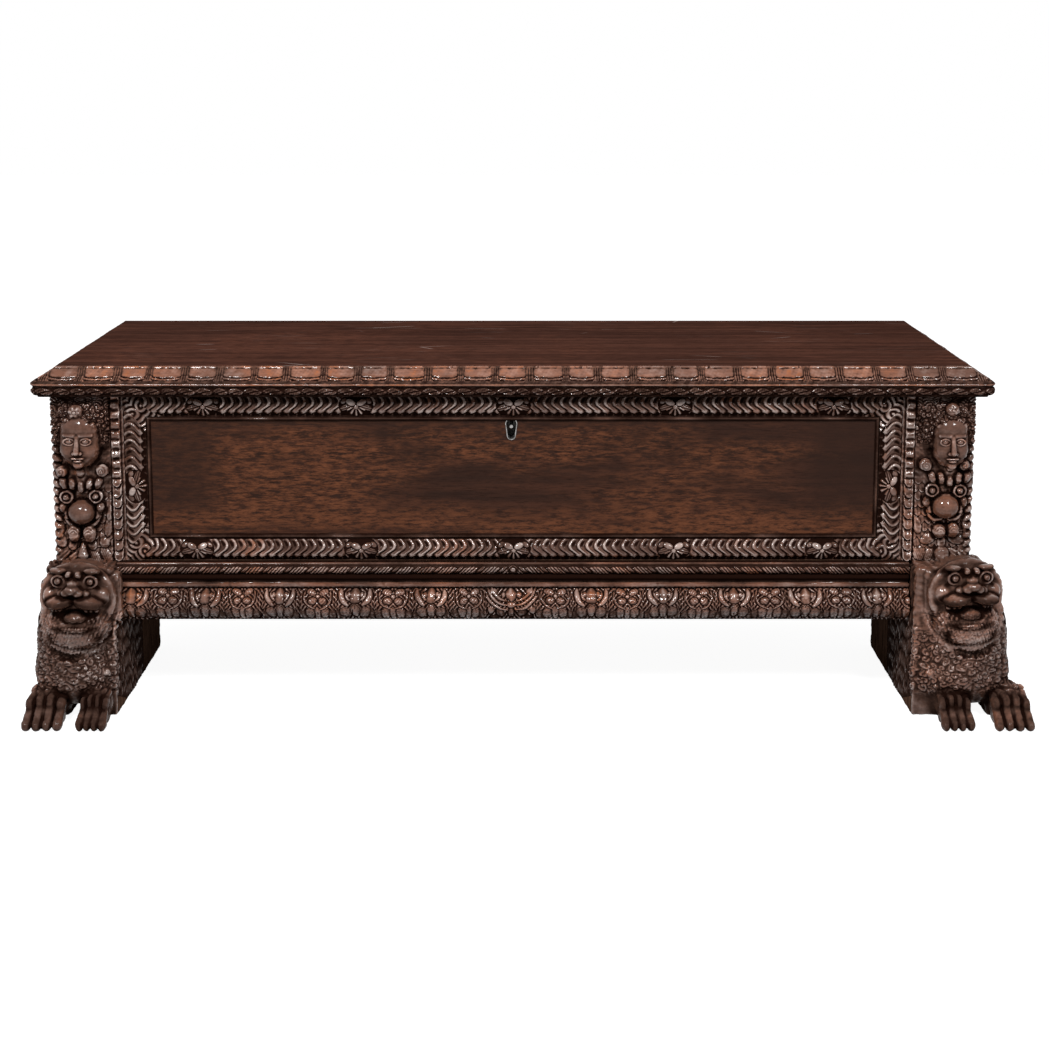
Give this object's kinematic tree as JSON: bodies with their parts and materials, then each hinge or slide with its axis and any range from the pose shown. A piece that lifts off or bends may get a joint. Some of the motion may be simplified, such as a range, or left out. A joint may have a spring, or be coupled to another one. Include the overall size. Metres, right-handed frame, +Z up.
{
  "type": "cassone",
  "caption": "Long carved walnut chest with a hinged lid, herm corner posts, framed front panel, leaf-carved plinth and lion feet.",
  "frame": {"origin": "bottom centre of the whole chest's bounding box, on the floor", "axes": "+X to the viewer's right along the front, -Y out of the front, +Z up"},
  "size_m": [1.7814, 0.6674, 0.628],
  "materials": {
    "walnut_carved": "hand carved walnut, nearly black in the hollows, rubbed and waxed on the high places",
    "walnut_panel": "figured walnut, waxed",
    "walnut_lid": "long-grained walnut, waxed, scratched",
    "walnut_plain": "plain walnut, unpolished",
    "wrought_iron": "hand forged, dark"
  },
  "bodies": {
    "carcase": {"back_board": "walnut_plain", "base_rail_front": "walnut_plain", "base_rail_left": "walnut_plain", "base_rail_rear": "walnut_plain", "base_rail_right": "walnut_plain", "bottom_bearers": "walnut_plain", "bottom_board_front": "walnut_plain", "bottom_board_middle": "walnut_plain", "bottom_board_rear": "walnut_plain", "frame_bottom": "walnut_carved", "frame_left": "walnut_carved", "frame_right": "walnut_carved", "frame_top": "walnut_carved", "frieze_front": "walnut_carved", "frieze_left": "walnut_carved", "frieze_right": "walnut_carved", "front_board": "walnut_panel", "iron_nails": "wrought_iron", "key_post": "wrought_iron", "keyhole_lining": "wrought_iron", "left_end_bead": "walnut_carved", "left_end_board": "walnut_plain", "left_end_frame": "walnut_carved", "left_herm_post": "walnut_carved", "left_hinge_back_leaf": "wrought_iron", "left_hinge_pin": "wrought_iron", "left_lion_foot": "walnut_carved", "left_rear_stile": "walnut_plain", "lock_case": "wrought_iron", "lock_spring": "wrought_iron", "panel_bead": "walnut_carved", "plain_moulding_front": "walnut_carved", "plain_moulding_left": "walnut_carved", "plain_moulding_right": "walnut_carved", "right_end_bead": "walnut_carved", "right_end_board": "walnut_plain", "right_end_frame": "walnut_carved", "right_herm_post": "walnut_carved", "right_hinge_back_leaf": "wrought_iron", "right_hinge_pin": "wrought_iron", "right_lion_foot": "walnut_carved", "right_rear_stile": "walnut_plain", "rope_strip_front": "walnut_carved", "rope_strip_left": "walnut_carved", "rope_strip_right": "walnut_carved"},
    "lid": {"left_hinge_lid_leaf": "wrought_iron", "left_lid_cleat": "walnut_plain", "lid_board_front": "walnut_lid", "lid_board_rear": "walnut_lid", "lid_nails": "wrought_iron", "lid_rear_rail": "walnut_plain", "lid_rim_front": "walnut_carved", "lid_rim_left": "walnut_carved", "lid_rim_right": "walnut_carved", "lid_under_strips": "walnut_carved", "lock_staple": "wrought_iron", "right_hinge_lid_leaf": "wrought_iron", "right_lid_cleat": "walnut_plain", "staple_block": "walnut_plain"},
    "bolt": {"lock_bolt": "wrought_iron"}
  },
  "joints": [
    {"name": "lid_hinge", "type": "hinge", "parent": "carcase", "child": "lid", "pos_m": [0, 0.32725, 0.5738], "axis": [-1, 0, 0], "range_deg": [0, 100]},
    {"name": "bolt_slide", "type": "slide", "parent": "carcase", "child": "bolt", "axis": [1, 0, 0], "range_m": [0, 0.02]}
  ]
}
